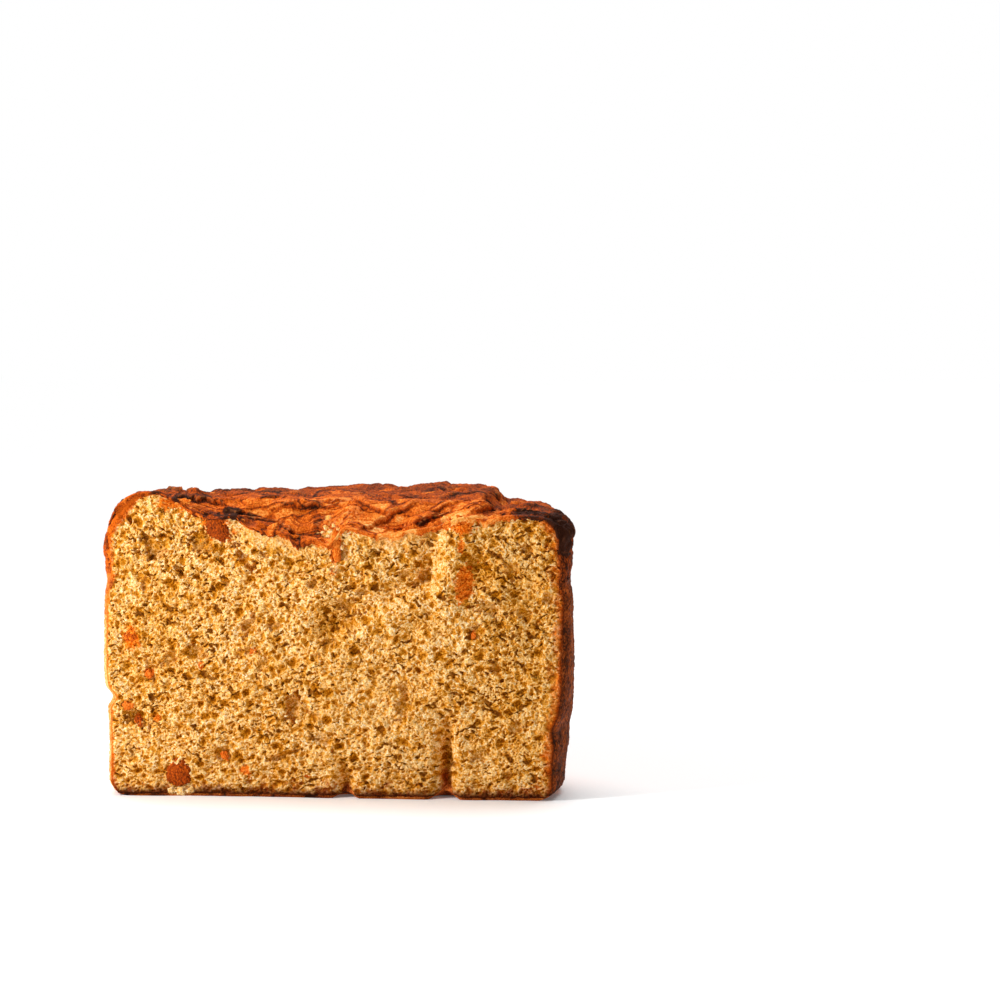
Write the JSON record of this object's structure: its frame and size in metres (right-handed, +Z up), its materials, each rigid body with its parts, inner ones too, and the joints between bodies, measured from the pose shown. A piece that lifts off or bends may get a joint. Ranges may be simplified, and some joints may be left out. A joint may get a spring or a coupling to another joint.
{
  "type": "easter sweet bread",
  "caption": "Cut half of a tall round Easter sweet bread, standing on its flat base, with an open yellow crumb on the cut face and a crumpled brown crust over the top and round the back.",
  "frame": {"origin": "centre of the bounding box's bottom face, on the surface that the loaf stands on", "axes": "+X along the cut face to the right as seen from the front, +Y from the cut face into the loaf, +Z up"},
  "size_m": [0.186, 0.1156, 0.1207],
  "materials": {
    "half_loaf": "matte baked dough, yellow crumb and brown crust"
  },
  "bodies": {
    "root": {"half_loaf": "half_loaf"}
  },
  "joints": []
}
